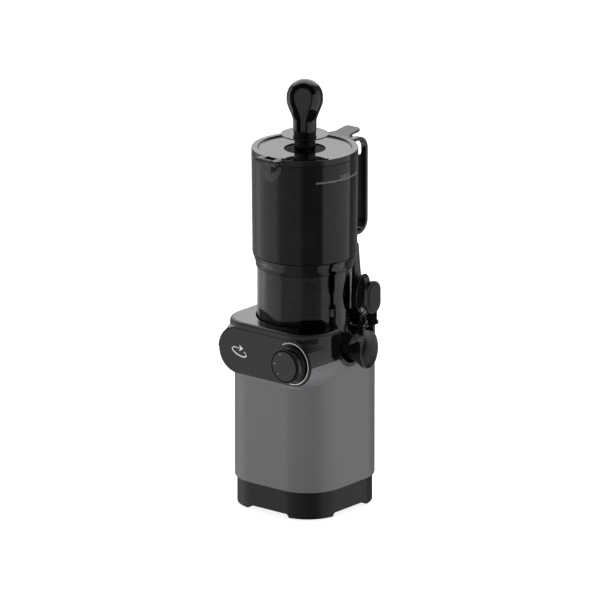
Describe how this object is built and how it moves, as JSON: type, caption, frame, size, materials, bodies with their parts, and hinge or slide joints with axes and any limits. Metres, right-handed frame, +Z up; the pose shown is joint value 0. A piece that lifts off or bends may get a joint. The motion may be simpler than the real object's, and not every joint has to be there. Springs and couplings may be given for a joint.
{
  "type": "cold press juicer",
  "caption": "Upright cold press juicer: square motor base with a pill-shaped control pod, smoke juicing bowl with an auger, large see-through hopper with a handle, hinged lid and tamper.",
  "frame": {"origin": "on the axis of the bowl, auger and hopper, at table height", "axes": "+Z up, -Y out of the control pod (front), +X out of the juice spout"},
  "size_m": [0.1938, 0.2089, 0.5624],
  "materials": {
    "black_rubber": "matte",
    "black_plinth": "satin",
    "grey_body": "satin",
    "gloss_black": "gloss",
    "panel_grey": "satin",
    "white_print": "matte",
    "smoke_plastic": "gloss, see-through",
    "dark_sieve": "matte",
    "dark_auger": "matte",
    "steel": "brushed",
    "iron_core": "matte",
    "die_cast": "satin",
    "board_green": "satin",
    "inner_plastic": "matte"
  },
  "bodies": {
    "base": {"rubber_feet": "black_rubber", "base_plinth": "black_plinth", "plinth_screws": "steel", "body_shell": "grey_body", "top_deck": "gloss_black", "control_pod": "gloss_black", "panel_fascia": "panel_grey", "indicator_arc": "white_print", "control_board": "board_green", "rotary_switch": "inner_plastic", "interlock_switch": "inner_plastic", "power_inlet": "inner_plastic", "motor_bracket": "steel", "vibration_dampers": "black_rubber", "motor_stator": "iron_core", "motor_bearings": "steel", "gearbox_case": "die_cast", "gearbox_cover": "die_cast", "gearbox_screws": "steel", "countershaft_bearings": "steel", "spindle_bearings": "steel", "spindle_seal": "black_rubber"},
    "rotor": {"motor_rotor": "iron_core", "cooling_fan": "inner_plastic", "motor_pinion": "steel"},
    "countershaft": {"countershaft_gear": "steel"},
    "spindle": {"output_gear": "steel", "drive_spindle": "steel"},
    "knob": {"knob_shaft": "steel", "speed_knob": "gloss_black", "knob_cap": "panel_grey"},
    "bowl": {"juice_bowl": "smoke_plastic", "bowl_seal": "black_rubber", "strainer_basket": "dark_sieve", "spout_mouth": "smoke_plastic", "juice_cap_pin": "steel", "pulp_cap_pin": "steel"},
    "auger_body": {"auger": "dark_auger"},
    "juice_flap": {"juice_cap": "gloss_black", "juice_cap_pad": "panel_grey"},
    "pulp_flap": {"pulp_cap": "gloss_black"},
    "hopper_body": {"hopper": "smoke_plastic", "hopper_handle": "gloss_black", "hinge_boss": "gloss_black", "lid_hinge_pin": "steel"},
    "lid": {"hopper_lid": "gloss_black"},
    "tamper": {"tamper_grip": "gloss_black", "tamper_collar": "gloss_black", "tamper_rod": "gloss_black"}
  },
  "joints": [
    {"name": "rotor_turn", "type": "hinge", "parent": "base", "child": "rotor", "pos_m": [0, 0.0112, 0.06], "axis": [0, 0, 1], "continuous": true},
    {"name": "countershaft_turn", "type": "hinge", "parent": "base", "child": "countershaft", "pos_m": [0, 0.04, 0.13], "axis": [0, 0, 1], "continuous": true},
    {"name": "spindle_turn", "type": "hinge", "parent": "base", "child": "spindle", "pos_m": [0, 0, 0.18], "axis": [0, 0, 1], "continuous": true},
    {"name": "knob_turn", "type": "hinge", "parent": "base", "child": "knob", "pos_m": [0.0455, -0.09, 0.2117], "axis": [0, 1, 0], "range_deg": [0, 225]},
    {"name": "bowl_lift", "type": "slide", "parent": "base", "child": "bowl", "axis": [0, 0, 1], "range_m": [0, 0.07]},
    {"name": "auger_turn", "type": "hinge", "parent": "bowl", "child": "auger_body", "pos_m": [0, 0, 0.25], "axis": [0, 0, 1], "continuous": true},
    {"name": "juice_flap_hinge", "type": "hinge", "parent": "bowl", "child": "juice_flap", "pos_m": [0.1085, 0, 0.2582], "axis": [0, 1, 0], "range_deg": [0, 180]},
    {"name": "pulp_flap_hinge", "type": "hinge", "parent": "bowl", "child": "pulp_flap", "pos_m": [0.0637, 0.0413, 0.252], "axis": [-0.309, 0.9511, 0], "range_deg": [0, 180]},
    {"name": "hopper_lift", "type": "slide", "parent": "bowl", "child": "hopper_body", "axis": [0, 0, 1], "range_m": [0, 0.06]},
    {"name": "lid_open", "type": "hinge", "parent": "hopper_body", "child": "lid", "pos_m": [0, -0.076, 0.4695], "axis": [1, 0, 0], "range_deg": [0, 110]},
    {"name": "tamper_slide", "type": "slide", "parent": "lid", "child": "tamper", "axis": [0, 0, 1], "range_m": [-0.018, 0.1]}
  ],
  "couplings": [
    {"joint": "countershaft_turn", "follows": "rotor_turn", "ratio": -0.2},
    {"joint": "spindle_turn", "follows": "rotor_turn", "ratio": 0.046154},
    {"joint": "auger_turn", "follows": "rotor_turn", "ratio": 0.046154}
  ]
}
